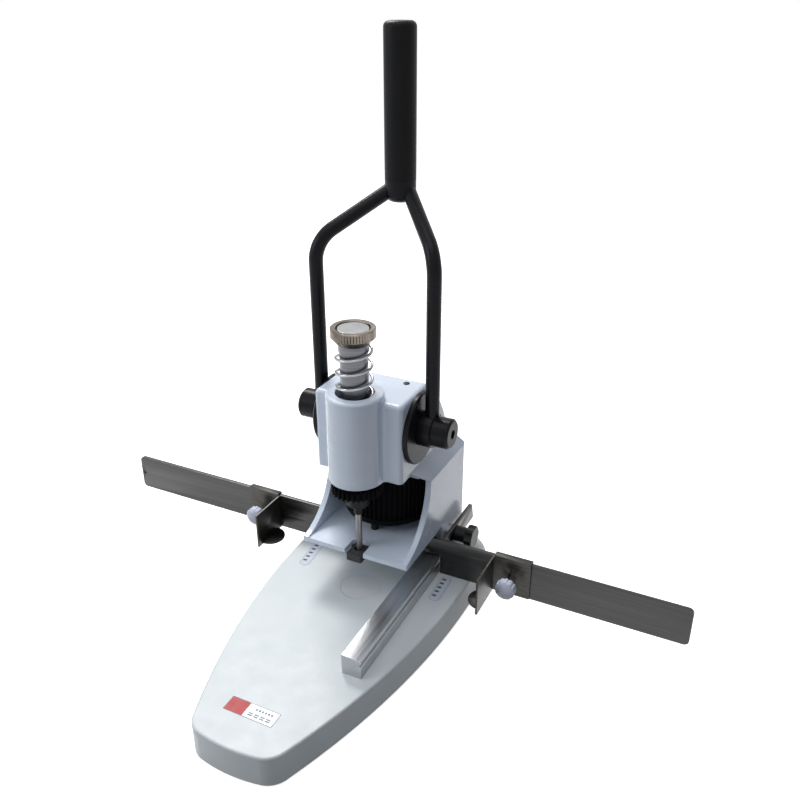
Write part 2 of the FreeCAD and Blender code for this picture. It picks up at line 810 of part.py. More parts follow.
def rack_cuts():
    """The gaps of the rack, with one gap level with the lever's shaft at rest."""
    pitch = math.pi * gear_module
    slope = math.tan(math.radians(pressure_angle))
    tip = rack_line + addendum
    root = rack_line - dedendum
    # half the width of a gap on the rack line, wider at the tip and narrower at the root
    gap = pitch / 2 - tooth_share * pitch / 4
    spare = spare_gaps * pitch
    reach = int((spare + rack_pinion_pitch / 4) / pitch)
    count = int((spare + stroke) / pitch)
    cuts = []
    for step in range(-reach, count + reach):
        level = hub_height + step * pitch
        low = gap - slope * dedendum
        high = gap + slope * (addendum + overrun)
        points = [V(-quill_radius, root, level - low), V(-quill_radius, root, level + low),
                  V(-quill_radius, tip + overrun, level + high),
                  V(-quill_radius, tip + overrun, level - high)]
        cuts.append(prism(points, X_AXIS * (2 * quill_radius)))
    bottom = hub_height - reach * pitch - pitch
    top = hub_height + (count + reach) * pitch
    flat = block(-quill_radius, quill_radius, tip, quill_radius + overrun, bottom, top)
    return [flat] + cuts


def quill():
    """The sleeve that slides down and never turns, with its rack milled into the back."""
    body = rod(quill_radius, V(0, 0, quill_bottom), V(0, 0, quill_top))
    collar = rod(quill_collar_radius, V(0, 0, quill_top - quill_collar_height), V(0, 0, quill_top))
    bore = rod(spindle_radius + clearance * 2, V(0, 0, quill_bottom - overrun),
               V(0, 0, quill_top + overrun))
    ends = []
    for low in (quill_bottom, quill_top - spindle_bush_height):
        ends.append(rod(spindle_bush_radius, V(0, 0, low), V(0, 0, low + spindle_bush_height)))
    return body.fuse(collar).cut([bore] + ends + rack_cuts())


def spindle_bushes():
    """Two bronze bushes inside the quill."""
    bushes = []
    for low in (quill_bottom, quill_top - spindle_bush_height):
        bushes.append(tube(spindle_bush_radius, spindle_radius + running_gap,
                           V(0, 0, low), V(0, 0, low + spindle_bush_height)))
    return Part.makeCompound(bushes)


def quill_bush():
    """The lower bronze guide of the quill."""
    return tube(quill_bush_radius, quill_radius + running_gap, V(0, 0, head_bottom),
                V(0, 0, head_bottom + quill_bush_height))


def spring_seat():
    """The upper guide ring, which the return spring stands on."""
    return tube(boss_bore, quill_radius + running_gap, V(0, 0, seat_height), V(0, 0, seat_top))


def spindle():
    """The steel shaft that spins inside the quill."""
    top = cap_top - cap_recess_depth + cap_disc_thickness / 2
    return rod(spindle_radius, V(0, 0, bit_top), V(0, 0, top))


def spindle_pinion():
    """The thirty-tooth gear that runs along the tall drive gear as the quill comes down."""
    low = V(0, 0, spindle_pinion_bottom)
    gap_back = math.pi / 2 + math.pi / spindle_teeth
    gear = spur_gear(gear_module, spindle_teeth, gap_back, low, X_AXIS, Y_AXIS,
                     spindle_pinion_width)
    high = V(0, 0, spindle_pinion_top)
    return gear.cut(rod(spindle_radius, low - Z_AXIS * overrun, high + Z_AXIS * overrun))


def drill_chuck():
    """The black holder of the bit, with a window where chips fall out."""
    profile = [(bit_radius, chuck_nose_bottom), (chuck_nose_radius - edge_break, chuck_nose_bottom),
               (chuck_nose_radius, chuck_nose_bottom + edge_break),
               (chuck_nose_radius, chuck_bottom), (chuck_radius - edge_break * 3, chuck_bottom),
               (chuck_radius, chuck_bottom + edge_break * 3), (chuck_radius, chuck_top - edge_break),
               (chuck_radius - edge_break, chuck_top), (spindle_radius, chuck_top),
               (spindle_radius, bit_top), (bit_radius, bit_top)]
    chuck = turned(profile, V(0, 0, 0), Z_AXIS)
    middle = (chuck_bottom + bit_top) / 2
    window = block(-chuck_radius * 2, -bit_radius, -chip_window_half, chip_window_half,
                   middle - chip_window_half, middle + chip_window_half)
    return chuck.cut(window)


def drill_bit():
    """The hollow bit, sharpened to a ring at its tip."""
    inner = bit_radius - bit_wall
    profile = [(bit_radius, bit_bottom), (bit_radius, bit_top - clearance),
               (inner, bit_top - clearance), (inner, bit_bottom + bit_wall * 2)]
    return turned(profile, V(0, 0, 0), Z_AXIS)


def top_cap():
    """The knurled cap screwed on the quill; its underside takes the spring."""
    rim_low = cap_top - cap_rim_height
    taper_low = rim_low - cap_taper_height
    recess = cap_top - cap_recess_depth
    foot_edge = quill_collar_radius + cap_foot_wall
    profile = [(quill_collar_radius, taper_low), (foot_edge, taper_low),
               (cap_radius - edge_break, rim_low), (cap_radius, rim_low + edge_break),
               (cap_radius, cap_top - edge_break), (cap_radius - edge_break, cap_top),
               (cap_recess_radius + edge_break, cap_top), (cap_recess_radius, cap_top - edge_break),
               (cap_recess_radius, recess), (spindle_radius + clearance, recess),
               (spindle_radius + clearance, quill_top), (quill_collar_radius, quill_top)]
    cap = turned(profile, V(0, 0, 0), Z_AXIS)
    cutter = cap_flute_depth * 2
    cuts = []
    for flute in range(cap_flutes):
        angle = 2 * math.pi * flute / cap_flutes
        place = cap_radius + cutter - cap_flute_depth
        x, y = place * math.cos(angle), place * math.sin(angle)
        low = V(x, y, rim_low + edge_break * 2)
        corners = [low + V(math.cos(angle + turn), math.sin(angle + turn), 0) * cutter
                   for turn in (math.pi / 2, math.pi, math.pi * 3 / 2)]
        cuts.append(prism(corners, Z_AXIS * (cap_rim_height - edge_break * 4)))
    return cap.cut(cuts)


def cap_disc():
    """The polished disc on the spindle's end, seen in the cap's recess."""
    recess = cap_top - cap_recess_depth
    low = recess + clearance
    top = low + cap_disc_thickness
    profile = [(0, low), (cap_disc_radius, low), (cap_disc_radius, top - edge_break),
               (cap_disc_radius - edge_break, top), (0, top)]
    disc = turned(profile, V(0, 0, 0), Z_AXIS)
    return disc.cut(rod(spindle_radius, V(0, 0, low - overrun), V(0, 0, recess + cap_disc_thickness / 2)))


def bend_edges(start, heading, end, leaving):
    """Two arcs that join smoothly and keep the headings at both ends."""
    chord = end - start
    both = heading + leaving
    spread = 2 * (1 - heading.dot(leaving))
    along = chord.dot(both)
    reach = (-along + math.sqrt(along * along + spread * chord.dot(chord))) / spread
    first = start + heading * reach
    second = end - leaving * reach
    middle = (first + second) * 0.5
    edges = []
    for a, control, b in ((start, first, middle), (middle, second, end)):
        halfway = (a + b) * 0.5
        half_chord = (b - a).Length / 2
        offset = control - halfway
        radius = reach * half_chord / offset.Length
        rise = radius - math.sqrt(radius ** 2 - half_chord ** 2)
        edges.append(arc(a, halfway + offset * (rise / offset.Length), b))
    return edges


def spring_point(turn):
    """A point of the spring's middle line and its heading, after this many turns."""
    radius = spring_outer - spring_wire / 2
    low = seat_top + spring_wire / 2 + running_gap
    top = cap_top - cap_rim_height - cap_taper_height - spring_wire / 2 + running_gap
    pitch = (top - low) * 2 / spring_half_turns
    angle = 2 * math.pi * turn
    place = V(radius * math.cos(angle), radius * math.sin(angle), low + pitch * turn)
    heading = V(-2 * math.pi * radius * math.sin(angle), 2 * math.pi * radius * math.cos(angle), pitch)
    return place, heading.normalize()


def return_spring():
    """One unbroken wire that lifts the quill again."""
    edges = []
    for half in range(spring_half_turns):
        start, heading = spring_point(half / 2)
        end, leaving = spring_point((half + 1) / 2)
        edges += bend_edges(start, heading, end, leaving)
    path = Part.Wire(edges)
    start, heading = spring_point(0)
    circle = Part.Wire(Part.Circle(start, heading, spring_wire / 2).toShape())
    samples = [spring_point(step / 48)[0] for step in range(spring_half_turns * 24)]
    gap = min((a - b).Length for i, a in enumerate(samples) for b in samples[i + 24:])
    print("least gap between turns of the spring, mm:", round(gap - spring_wire, 2))
    return path.makePipeShell([circle], True, False)


def drill_guide():
    """The black rubber block round the bit that holds the sheets down, on its tongue."""
    pad = block(-guide_half, guide_half, guide_front, guide_back, guide_bottom, guide_top)
    pad = rounded(pad, guide_round, lambda edge: runs_along(edge, Z_AXIS)
                  and lies_on(edge, "y", guide_front))
    inner_round = notch_round - (notch_half - guide_half)
    pad = rounded(pad, inner_round, lambda edge: runs_along(edge, Z_AXIS)
                  and lies_on(edge, "y", guide_back))
    tongue_bottom = shelf_bottom - tongue_thickness
    tongue = block(-guide_half, guide_half, guide_back - inner_round, guide_screw_y + tongue_tail,
                   tongue_bottom, shelf_bottom)
    bore = rod(chuck_nose_radius + guide_bore_gap, V(0, 0, guide_bottom - overrun),
               V(0, 0, guide_top + overrun))
    hole = rod(guide_screw_radius, V(0, guide_screw_y, tongue_bottom - overrun),
               V(0, guide_screw_y, shelf_bottom + overrun))
    return pad.fuse(tongue).cut([bore, hole])


def guide_screw():
    """The cap screw on the shelf that holds the guide's tongue."""
    head_low = V(0, guide_screw_y, shelf_top)
    head_top_point = V(0, guide_screw_y, shelf_top + guide_screw_head)
    head = rod(guide_screw_head_radius, head_low, head_top_point)
    shank = rod(guide_screw_radius, V(0, guide_screw_y, shelf_bottom - tongue_thickness), head_low)
    socket = rod(guide_screw_radius, head_top_point - Z_AXIS * (guide_screw_head / 2), head_top_point)
    return head.fuse(shank).cut(socket)


def arm_path(side):
    """The centre line of one lever arm: up from the hub, then in and back to the grip."""
    foot = V(side * arm_x, hub_y, hub_height)
    bend = V(side * arm_x, hub_y, hub_height + arm_rise)
    fork = V(side * fork_half, hub_y + fork_back, hub_height + fork_rise)
    down = (foot - bend).normalize()
    out = (fork - bend).normalize()
    half_turn = (math.pi - down.getAngle(out)) / 2
    leg = arm_bend * math.tan(half_turn)
    before = bend + down * leg
    after = bend + out * leg
    inward = (down + out).normalize()
    middle = bend + inward * (arm_bend / math.cos(half_turn) - arm_bend)
    return [Part.makeLine(foot, before), arc(before, middle, after), Part.makeLine(after, fork)]


def lever_yoke():
    """The welded black lever: two hubs, two bent arms and the stem under the grip."""
    pieces = []
    for side in (-1, 1):
        path = Part.Wire(arm_path(side))
        foot = V(side * arm_x, hub_y, hub_height)
        circle = Part.Wire(Part.Circle(foot, Z_AXIS, arm_radius).toShape())
        pieces.append(path.makePipeShell([circle], True, False))
        inner = V(side * hub_start, hub_y, hub_height)
        step = V(side * hub_step, hub_y, hub_height)
        end = V(side * hub_end, hub_y, hub_height)
        pieces.append(rod(hub_inner_radius, inner, step))
        pieces.append(rod(hub_outer_radius, step, end))
    fork_y = hub_y + fork_back
    fork_z = hub_height + fork_rise
    fork = V(0, fork_y, fork_z)
    collar = rod(grip_radius, fork - Z_AXIS * fork_drop, fork + Z_AXIS * fork_top)
    low_z = fork_z - fork_drop
    collar = rounded(collar, fork_round, lambda edge: edge.Closed and lies_on(edge, "z", low_z))
    pieces.append(collar)
    pieces.append(rod(stem_radius, fork, fork + Z_AXIS * (fork_top + stem_length)))
    lever = fuse_all(pieces)
    end = hub_end - hub_cap_length
    bore = rod(cross_radius, V(-end, hub_y, hub_height), V(end, hub_y, hub_height))
    return lever.cut(bore)


def hub_cap(side):
    """The bevelled end cap of a hub, with a hexagon socket."""
    profile = [(0, 0), (hub_outer_radius, 0), (hub_outer_radius, hub_cap_length - hub_cap_bevel),
               (hub_outer_radius - hub_cap_bevel, hub_cap_length), (0, hub_cap_length)]
    cap = turned(profile, V(side * hub_end, hub_y, hub_height), X_AXIS * side)
    face = V(side * (hub_end + hub_cap_length), hub_y, hub_height)
    corners = [face + Y_AXIS * (hub_socket_radius * math.cos(k * math.pi / 3))
               + Z_AXIS * (hub_socket_radius * math.sin(k * math.pi / 3)) for k in range(6)]
    return cap.cut(prism(corners, X_AXIS * (-side * hub_socket_depth)))


def grip():
    """The long black sleeve that the hand pulls."""
    low = V(0, hub_y + fork_back, hub_height + fork_rise + fork_top)
    top = low + Z_AXIS * grip_length
    body = rod(grip_radius, low, top)
    body = rounded(body, grip_round, lambda edge: lies_on(edge, "z", top.z))
    return body.cut(rod(stem_radius, low - Z_AXIS * overrun, low + Z_AXIS * (stem_length + clearance)))


def ruler_bar():
    """The long steel ruler with a gap for the fence."""
    low = ruler_gap
    bar = block(-ruler_left_reach, ruler_right_reach, ruler_front, ruler_back, low, ruler_top)
    bar = rounded(bar, ruler_corner, lambda edge: runs_along(edge, Y_AXIS))
    gap = block(fence_left - clearance * 3, fence_left + fence_width + clearance * 3,
                ruler_front - overrun, ruler_back + overrun, low - overrun,
                fence_height + clearance * 3)
    middle = fence_left + fence_width / 2
    holes = [(ruler_hole_inset - ruler_left_reach, ruler_height / 2),
             (middle, fence_height + ruler_hole_inset)]
    cuts = [gap]
    for x, z in holes:
        cuts.append(rod(ruler_hole_radius, V(x, ruler_front - overrun, z), V(x, ruler_back + overrun, z)))
    return bar.cut(cuts)


def depth_arm(side):
    """A slotted plate that runs back along one side of the pedestal."""
    low = ruler_top - arm_plate_height
    slot_front = stud_y - carriage_travel
    tail = stud_y + arm_plate_tail
    x = side * arm_plate_inner
    corners = [V(x, ruler_back, low), V(x, ruler_back, ruler_top),
               V(x, tail - arm_plate_slant, ruler_top), V(x, tail, low)]
    plate = prism(corners, X_AXIS * (side * arm_plate_thickness))
    start = side * (arm_plate_inner - overrun)
    end = side * (arm_plate_outer + overrun)
    slot = block(min(start, end), max(start, end), slot_front, stud_y,
                 stud_height - arm_slot_half, stud_height + arm_slot_half)
    ends = [rod(arm_slot_half, V(start, y, stud_height), V(end, y, stud_height))
            for y in (slot_front, stud_y)]
    return plate.cut([slot] + ends)


def depth_stud(side):
    """The threaded stud in the pedestal, with the spacer that the plate slides on."""
    end = arm_plate_outer + clearance + knob_neck_length
    stud = rod(stud_radius, V(side * (body_half - stud_depth), stud_y, stud_height),
               V(side * end, stud_y, stud_height))
    spacer = rod(knob_neck_radius, V(side * body_half, stud_y, stud_height),
                 V(side * (arm_plate_inner - clearance), stud_y, stud_height))
    return stud.fuse(spacer)


def depth_knob(side):
    """The black six-lobed knob that clamps the plate, on its round neck."""
    inner = arm_plate_outer + clearance
    neck_end = inner + knob_neck_length
    outer = neck_end + knob_length
    centre = V(0, stud_y, stud_height)
    neck = rod(knob_neck_radius, centre + X_AXIS * (side * inner), centre + X_AXIS * (side * neck_end))
    head = rod(knob_radius, centre + X_AXIS * (side * neck_end), centre + X_AXIS * (side * outer))
    head = head.makeChamfer(knob_bevel, head.Edges)
    cuts = []
    place = knob_radius + knob_flute_radius - knob_flute_depth
    half_step = math.pi / knob_lobes
    for flute in range(knob_lobes):
        angle = half_step + flute * half_step * 2
        spot = centre + Y_AXIS * (place * math.cos(angle)) + Z_AXIS * (place * math.sin(angle))
        cuts.append(rod(knob_flute_radius, spot + X_AXIS * (side * neck_end),
                        spot + X_AXIS * (side * outer)))
    bore = rod(stud_radius + running_gap, centre + X_AXIS * (side * (inner - overrun)),
               centre + X_AXIS * (side * (neck_end + clearance)))
    return neck.fuse(head).cut(cuts + [bore])


def fence():
    """The square aluminium bar that the sheets lie against."""
    right = fence_left + fence_width
    back = pedestal_front - fence_rear_gap
    bar = block(fence_left, right, -fence_reach, back, 0, fence_height)
    groove_top = fence_height - fence_groove_drop
    groove = block(right - fence_groove_depth, right + overrun, -fence_reach - overrun,
                   back + overrun, groove_top - fence_groove_height, groove_top)
    cuts = [groove]
    for x, y in fence_places():
        cuts.append(rod(fence_screw_radius, V(x, y, -overrun), V(x, y, fence_height / 2)))
    return bar.cut(cuts)


def stop_body(x, side):
    """A sleeve of folded sheet on the ruler, with a flange and a foot tab towards the drill."""
    inner = x
    outer = x + side * stop_length
    left, right = min(inner, outer), max(inner, outer)
    front = ruler_front - stop_gap
    back = ruler_back + stop_gap
    top = ruler_top + stop_gap
    front_plate = block(left, right, front - sheet, front, flange_bottom, top + sheet)
    lid = block(left, right, front - sheet, back + sheet, top, top + sheet)
    rear_plate = block(left, right, back, back + sheet, top - stop_rear_drop, top + sheet)
    sleeve = fuse_all([front_plate, lid, rear_plate])
    sleeve = rounded(sleeve, sheet * fold_share, lambda edge: runs_along(edge, X_AXIS)
                     and lies_on(edge, "z", top + sheet))
    flange_inner = inner - side * sheet
    low_x, high_x = min(inner, flange_inner), max(inner, flange_inner)
    flange = block(low_x, high_x, front - flange_reach, front, flange_bottom, ruler_top)
    middle_y = front - flange_reach / 2
    tab = rod(tab_radius, V(flange_inner, middle_y, flange_bottom),
              V(flange_inner, middle_y, flange_bottom + sheet))
    keep_far = inner - side * (tab_radius * 2)
    tab_x = sorted((inner, keep_far))
    half_disc = tab.common(block(tab_x[0], tab_x[1], middle_y - tab_radius, middle_y + tab_radius,
                                 flange_bottom, flange_bottom + sheet))
    edge_strip = block(low_x, high_x, front - sheet, front, flange_bottom, top)
    screw_x = x + side * stop_length / 2
    hole = rod(screw_shank_radius + running_gap, V(screw_x, front - sheet - overrun, screw_height),
               V(screw_x, front + stop_gap / 2, screw_height))
    return fuse_all([sleeve, flange, half_disc, edge_strip]).cut(hole)


def thumb_shank(x, side):
    """The steel thread of a thumb screw."""
    screw_x = x + side * stop_length / 2
    tip = ruler_front - stop_gap / 2
    start = ruler_front - stop_gap - sheet - screw_shank_length
    return rod(screw_shank_radius, V(screw_x, start, screw_height), V(screw_x, tip, screw_height))


def thumb_head(x, side):
    """The domed plastic head of a thumb screw, scalloped round its rim."""
    seat = ruler_front - stop_gap - sheet - screw_shank_length
    centre = V(x + side * stop_length / 2, seat, screw_height)
    rim = screw_head_length * screw_rim_share
    rise = screw_head_length - rim
    ball = (screw_head_radius ** 2 + rise ** 2) / (2 * rise)
    middle = centre - Y_AXIS * (screw_head_length - ball)
    half_turn = math.asin(screw_head_radius / ball) / 2
    face_edge = centre + X_AXIS * screw_head_radius
    front_edge = face_edge - Y_AXIS * rim
    crown = centre - Y_AXIS * screw_head_length
    shoulder = middle + X_AXIS * (ball * math.sin(half_turn)) - Y_AXIS * (ball * math.cos(half_turn))
    outline = Part.Wire([Part.makeLine(centre, face_edge), Part.makeLine(face_edge, front_edge),
                         arc(front_edge, shoulder, crown), Part.makeLine(crown, centre)])
    head = Part.Face(outline).revolve(centre, Y_AXIS, 360)
    cuts = []
    place = screw_head_radius + screw_scallop_radius * screw_rim_share
    half_step = math.pi / screw_scallops
    for scallop in range(screw_scallops):
        angle = half_step + scallop * half_step * 2
        spot = centre + X_AXIS * (place * math.cos(angle)) + Z_AXIS * (place * math.sin(angle))
        cuts.append(rod(screw_scallop_radius, spot + Y_AXIS * overrun,
                        spot - Y_AXIS * (screw_head_length + overrun)))
    return head.cut(cuts)


def build():
    """Write every piece to its own file."""
    os.makedirs("parts", exist_ok=True)
    save(base_plate(), "base_plate")
    save(rubber_feet(), "rubber_feet")
    save(cutting_mat(), "cutting_mat")
    save(screws_from_below(bolt_places(), bolt_radius, bolt_grip), "housing_bolts")
    save(screws_from_below(fence_places(), fence_screw_radius, fence_height / 2), "fence_screws")
    save(housing(), "housing")
    save(shaft_bushes(), "shaft_bushes")
    save(cross_shaft(), "cross_shaft")
    save(rack_pinion(), "rack_pinion")
    save(lay_shaft(), "lay_shaft")
    save(lay_mitre(), "lay_mitre")
    save(jack_shaft(), "jack_shaft")
    save(jack_mitre(), "jack_mitre")
    save(jack_bushes(), "jack_bushes")
    save(drive_gear(), "drive_gear")
    save(quill(), "quill")
    save(quill_bush(), "quill_bush")
    save(spring_seat(), "spring_seat")
    save(spindle_bushes(), "spindle_bushes")
    save(spindle(), "spindle")
    save(spindle_pinion(), "spindle_pinion")
    save(drill_chuck(), "drill_chuck")
    save(drill_bit(), "drill_bit")
    save(top_cap(), "top_cap")
    save(cap_disc(), "cap_disc")
    save(return_spring(), "return_spring")
    save(drill_guide(), "drill_guide")
    save(guide_screw(), "guide_screw")
    save(lever_yoke(), "lever_yoke")
    save(grip(), "grip")
    save(ruler_bar(), "ruler_bar")
    save(fence(), "fence")
    for side, word in ((-1, "left"), (1, "right")):
        save(side_cover(side), "side_cover_" + word)
        save(hub_cap(side), "hub_cap_" + word)
        save(depth_arm(side), "depth_arm_" + word)
        save(depth_stud(side), "depth_stud_" + word)
        save(depth_knob(side), "depth_knob_" + word)
    for x, side, word in ((-stop_left_reach, -1, "left"), (stop_right_reach, 1, "right")):
        save(stop_body(x, side), "stop_" + word)
        save(thumb_shank(x, side), "thumb_shank_" + word)
        save(thumb_head(x, side), "thumb_head_" + word)


build()
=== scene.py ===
import math

import bmesh
import bpy
from mathutils import Matrix, Vector


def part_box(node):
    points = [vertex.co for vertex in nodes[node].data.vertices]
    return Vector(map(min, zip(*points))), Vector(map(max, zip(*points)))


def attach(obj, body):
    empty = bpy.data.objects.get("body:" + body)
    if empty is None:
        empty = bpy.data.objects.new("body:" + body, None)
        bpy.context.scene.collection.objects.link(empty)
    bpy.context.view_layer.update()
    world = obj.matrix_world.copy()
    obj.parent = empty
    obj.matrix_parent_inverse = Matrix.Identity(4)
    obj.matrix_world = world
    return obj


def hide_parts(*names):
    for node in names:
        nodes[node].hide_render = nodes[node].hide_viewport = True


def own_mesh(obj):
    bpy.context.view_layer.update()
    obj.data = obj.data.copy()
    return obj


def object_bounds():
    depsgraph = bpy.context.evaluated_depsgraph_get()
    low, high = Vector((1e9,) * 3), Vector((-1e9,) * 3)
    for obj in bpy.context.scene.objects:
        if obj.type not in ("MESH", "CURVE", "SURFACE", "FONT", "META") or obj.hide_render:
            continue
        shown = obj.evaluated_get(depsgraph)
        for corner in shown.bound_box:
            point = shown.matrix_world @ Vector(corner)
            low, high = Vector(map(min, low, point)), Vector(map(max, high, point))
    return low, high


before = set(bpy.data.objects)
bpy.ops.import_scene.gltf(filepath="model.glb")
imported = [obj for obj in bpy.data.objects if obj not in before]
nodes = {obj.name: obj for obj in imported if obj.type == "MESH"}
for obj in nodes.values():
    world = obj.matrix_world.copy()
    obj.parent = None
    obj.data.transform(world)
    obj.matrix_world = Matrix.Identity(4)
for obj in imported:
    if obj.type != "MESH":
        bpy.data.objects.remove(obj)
cad_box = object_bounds()
bpy.context.scene.view_settings.view_transform = "Standard"

# Camera
# It stands to the front right, 0.7 m from the middle of the work surface, and looks down on
# the drill. Its place and lens were fitted to the photograph by points picked in it.
AZIMUTH = math.radians(26.29)
ELEVATION = math.radians(26.02)
ROLL = math.radians(-0.21)
CAMERA_PLACE = Vector((0.2738, -0.4814, 0.4363))
FOCAL_PIXELS = 856.07
IMAGE_PIXELS = 800
SENSOR = 36.0
NEAREST = 0.01

back = Vector((math.sin(AZIMUTH) * math.cos(ELEVATION), -math.cos(AZIMUTH) * math.cos(ELEVATION),
               math.sin(ELEVATION)))
level_right = Vector((math.cos(AZIMUTH), math.sin(AZIMUTH), 0))
level_up = back.cross(level_right)
right = level_right * math.cos(ROLL) + level_up * math.sin(ROLL)
up = level_up * math.cos(ROLL) - level_right * math.sin(ROLL)
camera = bpy.data.objects.new("camera", bpy.data.cameras.new("camera"))
camera.data.sensor_width = SENSOR
camera.data.lens = FOCAL_PIXELS / IMAGE_PIXELS * SENSOR
camera.data.clip_start = NEAREST
turn = Matrix((right, up, back)).transposed().to_4x4()
camera.matrix_world = Matrix.Translation(CAMERA_PLACE) @ turn
bpy.context.scene.collection.objects.link(camera)
bpy.context.scene.camera = camera


# Lamps
# The main soft box stands behind on the left and throws the head's shadow over the fence.
# A wide one overhead and a weak one on the left open the shadows.
def soft_box(name, place, target, size, power, tint):
    """A square lamp that faces a point."""
    data = bpy.data.lights.new(name, "AREA")
    data.shape = "SQUARE"
    data.size = size
    data.energy = power
    data.color = tint
    lamp = bpy.data.objects.new(name, data)
    lamp.location = place
    lamp.rotation_euler = (Vector(target) - Vector(place)).to_track_quat("-Z", "Y").to_euler()
    bpy.context.scene.collection.objects.link(lamp)


soft_box("key_light", place=(-0.70, 0.70, 1.26), target=(0, -0.03, 0.05), size=0.5, power=14.5,
         tint=(1.0, 0.99, 0.97))
soft_box("top_light", place=(-0.10, -0.35, 1.5), target=(0, -0.03, 0), size=1.2, power=7,
         tint=(0.93, 0.96, 1.0))
soft_box("left_light", place=(-1.2, -0.9, 0.8), target=(0, 0, 0.1), size=0.8, power=7,
         tint=(0.92, 0.96, 1.0))


# Floor and surroundings
# A white paper sweep with no horizon, which keeps the drill's faint shadow. Steel and enamel
# mirror the same white; only the light that it throws on the drill is weaker.
FLOOR_SIZE = 40.0
PAPER_WHITE = (0.9, 0.9, 0.9, 1)
WHITE = (1, 1, 1, 1)
FLOOR_GLOW = 0.83
BOUNCE_GREY = (0.14, 0.14, 0.145, 1)
SKY_TINT = (0.86, 0.91, 1.0, 1)
SKY_LIGHT = 0.23


def seen_directly(tree):
    """A mask that is 1 for rays from the camera and for mirrored or transmitted ones."""
    path = tree.nodes.new("ShaderNodeLightPath")
    mask = path.outputs["Is Camera Ray"]
    for label in ("Is Glossy Ray", "Is Transmission Ray"):
        both = tree.nodes.new("ShaderNodeMath")
        both.operation = "MAXIMUM"
        tree.links.new(mask, both.inputs[0])
        tree.links.new(path.outputs[label], both.inputs[1])
        mask = both.outputs["Value"]
    return mask


def two_faced(tree, unseen, seen, kind):
    """Send one shader to the rays that see the surface and another to the rest."""
    output = tree.nodes.new(kind)
    mix = tree.nodes.new("ShaderNodeMixShader")
    tree.links.new(seen_directly(tree), mix.inputs["Fac"])
    tree.links.new(unseen, mix.inputs[1])
    tree.links.new(seen, mix.inputs[2])
    tree.links.new(mix.outputs["Shader"], output.inputs["Surface"])


def background(tree, colour, strength):
    """A background shader of one colour."""
    sky = tree.nodes.new("ShaderNodeBackground")
    sky.inputs["Color"].default_value = colour
    sky.inputs["Strength"].default_value = strength
    return sky.outputs["Background"]


def matt(tree, colour):
    """A diffuse shader of one colour."""
    paper = tree.nodes.new("ShaderNodeBsdfDiffuse")
    paper.inputs["Color"].default_value = colour
    return paper.outputs["BSDF"]


world = bpy.data.worlds.new("studio")
world.use_nodes = True
world.node_tree.nodes.clear()
bpy.context.scene.world = world
two_faced(world.node_tree, background(world.node_tree, SKY_TINT, SKY_LIGHT),
          background(world.node_tree, WHITE, 1), "ShaderNodeOutputWorld")

sweep = bpy.data.materials.new("sweep")
sweep.use_nodes = True
sweep_tree = sweep.node_tree
sweep_tree.nodes.clear()
glow = sweep_tree.nodes.new("ShaderNodeEmission")
glow.inputs["Strength"].default_value = FLOOR_GLOW
lit_paper = sweep_tree.nodes.new("ShaderNodeAddShader")
sweep_tree.links.new(glow.outputs["Emission"], lit_paper.inputs[0])
sweep_tree.links.new(matt(sweep_tree, PAPER_WHITE), lit_paper.inputs[1])
two_faced(sweep_tree, matt(sweep_tree, BOUNCE_GREY), lit_paper.outputs["Shader"],
          "ShaderNodeOutputMaterial")

half_floor = FLOOR_SIZE / 2
floor_signs = ((-1, -1), (1, -1), (1, 1), (-1, 1))
floor_mesh = bpy.data.meshes.new("floor")
floor_mesh.from_pydata([(x * half_floor, y * half_floor, cad_box[0].z) for x, y in floor_signs],
                       [], [(0, 1, 2, 3)])
floor_mesh.materials.append(sweep)
floor = bpy.data.objects.new("floor", floor_mesh)
bpy.context.scene.collection.objects.link(floor)


# Base plate
# A sand casting, milled flat on top and sprayed with pale grey enamel. The skin has clouds,
# orange peel and soft corners, in one effect that all enamel on the drill shares.
CORNER_SAMPLES = 4
CREASE = math.radians(32)


def new_effect(name, outputs, inputs):
    """An empty shader group with (name, type) outputs and (name, type, value) inputs."""
    effect = bpy.data.node_groups.new(name, "ShaderNodeTree")
    for label, kind in outputs:
        effect.interface.new_socket(label, in_out="OUTPUT", socket_type=kind)
    for label, kind, value in inputs:
        socket = effect.interface.new_socket(label, in_out="INPUT", socket_type=kind)
        socket.default_value = value
    entry = effect.nodes.new("NodeGroupInput")
    leave = effect.nodes.new("NodeGroupOutput")
    coordinates = effect.nodes.new("ShaderNodeTexCoord")
    return effect, entry.outputs, leave.inputs, coordinates.outputs["Object"]


def noise(tree, vector, scale, detail, roughness):
    """A noise texture that reads this vector."""
    texture = tree.nodes.new("ShaderNodeTexNoise")
    texture.inputs["Scale"].default_value = scale
    texture.inputs["Detail"].default_value = detail
    texture.inputs["Roughness"].default_value = roughness
    tree.links.new(vector, texture.inputs["Vector"])
    return texture.outputs["Fac"]


def spread(tree, value, source=(0.3, 0.7), result=(0, 1)):
    """A value mapped from one range to another and held at its ends."""
    ramp = tree.nodes.new("ShaderNodeMapRange")
    for label, number in zip(("From Min", "From Max", "To Min", "To Max"), source + result):
        ramp.inputs[label].default_value = number
    tree.links.new(value, ramp.inputs["Value"])
    return ramp.outputs["Result"]


def bump(tree, height, strength, distance, before=None):
    """A bump made from a height, on top of an earlier normal; its strength may be a socket."""
    relief = tree.nodes.new("ShaderNodeBump")
    relief.inputs["Distance"].default_value = distance
    tree.links.new(height, relief.inputs["Height"])
    if isinstance(strength, float):
        relief.inputs["Strength"].default_value = strength
    else:
        tree.links.new(strength, relief.inputs["Strength"])
    if before is not None:
        tree.links.new(before, relief.inputs["Normal"])
    return relief.outputs["Normal"]


def soft_corner(tree, radius):
    """A normal that turns smoothly round sharp corners."""
    corner = tree.nodes.new("ShaderNodeBevel")
    corner.samples = CORNER_SAMPLES
    tree.links.new(radius, corner.inputs["Radius"])
    return corner.outputs["Normal"]


